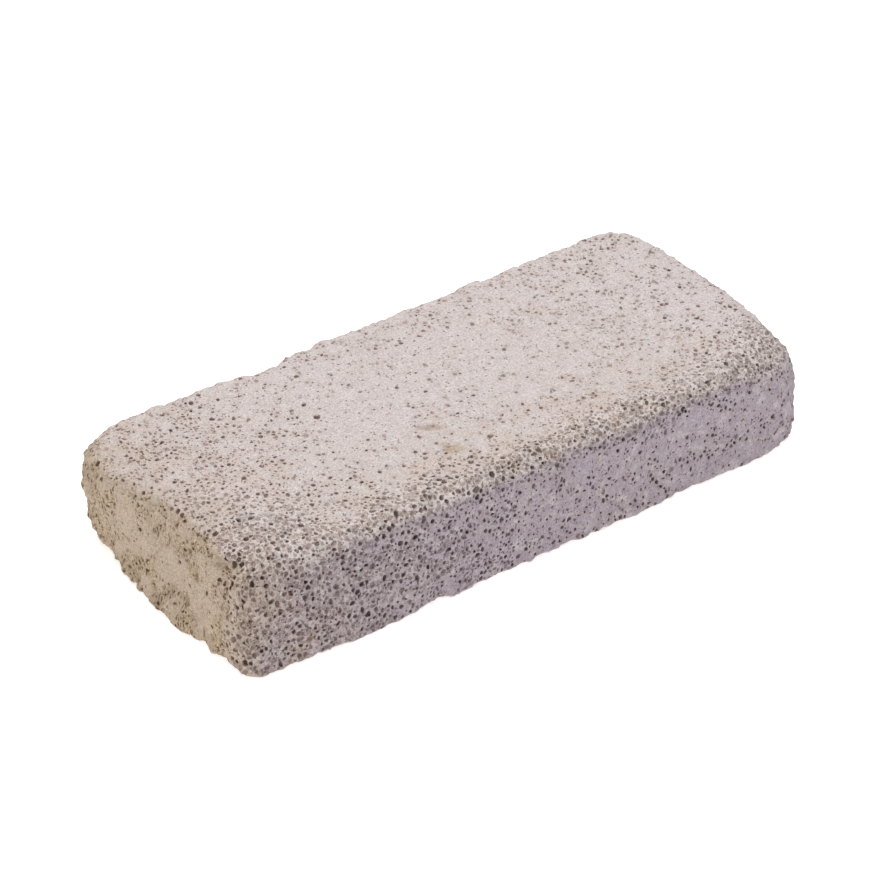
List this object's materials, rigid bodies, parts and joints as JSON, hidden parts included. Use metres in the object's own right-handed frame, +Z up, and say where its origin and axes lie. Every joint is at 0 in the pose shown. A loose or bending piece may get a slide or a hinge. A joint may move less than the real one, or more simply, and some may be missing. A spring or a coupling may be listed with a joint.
{
  "type": "pumice stone",
  "caption": "Hand-size bar of pale pumice for smoothing skin, sawn to a flat block with worn edges, a broken end and open gas pores all over.",
  "frame": {"origin": "middle of the bounding box in X and Y, at the flat underside that the stone rests on", "axes": "+X along the length from the broken end to the worn end, +Y from the long side with the crowded pores to the other long side, +Z up"},
  "size_m": [0.124, 0.0558, 0.0198],
  "materials": {
    "pumice": "matte, rough and full of open pores"
  },
  "bodies": {
    "root": {"pumice_stone": "pumice"}
  },
  "joints": []
}
